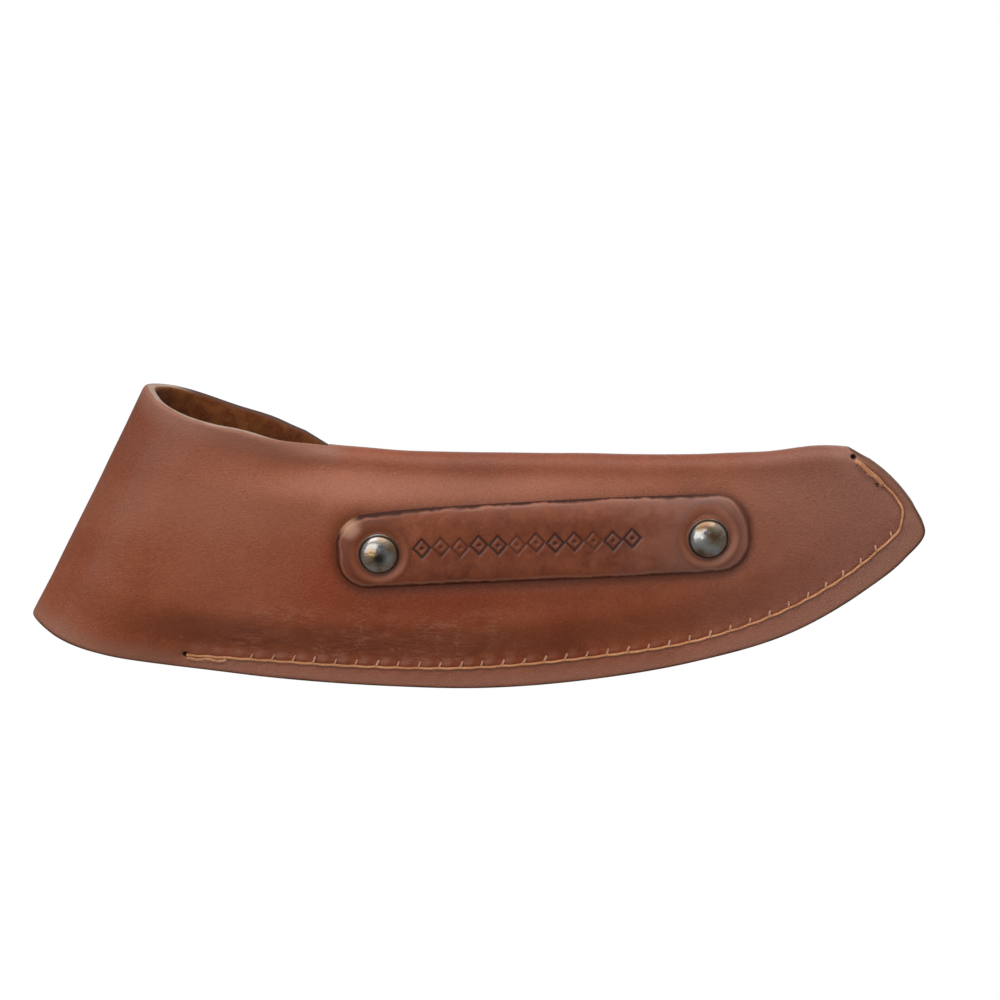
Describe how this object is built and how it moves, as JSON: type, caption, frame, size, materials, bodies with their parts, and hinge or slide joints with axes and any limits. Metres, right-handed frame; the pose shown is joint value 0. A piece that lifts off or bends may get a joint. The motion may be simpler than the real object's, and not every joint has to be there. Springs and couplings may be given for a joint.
{
  "type": "leather tool sheath",
  "caption": "Leather sheath for a curved carving blade: folded pocket with a stitched curved edge, an open slanted collar and a riveted strap.",
  "frame": {"origin": "under the middle of the length and of the depth, at the level of the curved edge's lowest point", "axes": "+X from the collar to the tip end, -Y out of the front that carries the strap, +Z from the stitched curved edge up to the folded top"},
  "size_m": [0.2402, 0.0276, 0.0831],
  "materials": {
    "body_leather": "smooth oiled grain, soft sheen, dark burnished edges",
    "welt_leather": "burnished edge",
    "strap_leather": "smooth oiled grain, stamped",
    "thread": "waxed twisted thread",
    "rivet_metal": "antiqued nickel plate with a brown patina"
  },
  "bodies": {
    "root": {"sheath_body": "body_leather", "welt": "welt_leather", "label_strap": "strap_leather", "label_rivet_cap_left": "rivet_metal", "label_rivet_cap_right": "rivet_metal", "label_rivet_base_left": "rivet_metal", "label_rivet_base_right": "rivet_metal", "lap_rivet_cap_lower": "rivet_metal", "lap_rivet_cap_upper": "rivet_metal", "lap_rivet_base_lower": "rivet_metal", "lap_rivet_base_upper": "rivet_metal", "seam_front_thread": "thread", "seam_back_thread": "thread"}
  },
  "joints": []
}
